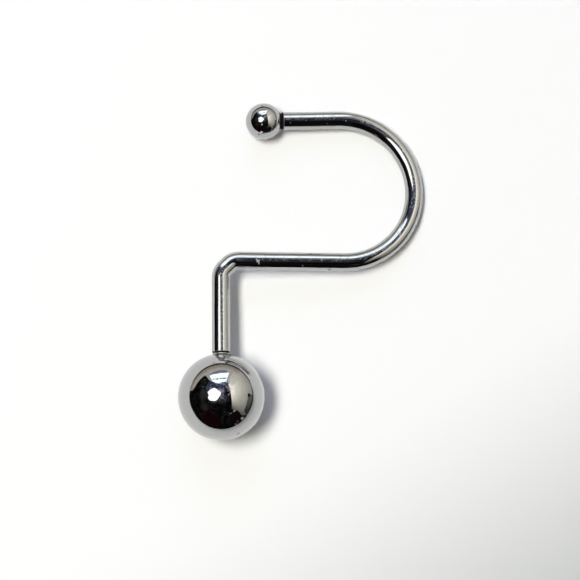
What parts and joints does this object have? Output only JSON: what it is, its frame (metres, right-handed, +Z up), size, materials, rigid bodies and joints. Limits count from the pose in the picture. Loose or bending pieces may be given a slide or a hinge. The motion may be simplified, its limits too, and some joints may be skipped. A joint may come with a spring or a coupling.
{
  "type": "shower curtain hook",
  "caption": "Open hook of bent round wire that hangs a shower curtain from a rod, with a small ball on its tip and a large ball that stops the grommet.",
  "frame": {"origin": "on the surface that the hook lies on, under the middle of its box", "axes": "+Z up from that surface; +Y from the knob towards the tip ball, which is the hook's long way; +X from the stub towards the U-bend"},
  "size_m": [0.0554, 0.0762, 0.019],
  "materials": {
    "chrome_plate": "polished chrome plating on steel"
  },
  "bodies": {
    "root": {"bent_wire": "chrome_plate", "knob_ball": "chrome_plate", "tip_ball": "chrome_plate"}
  },
  "joints": []
}
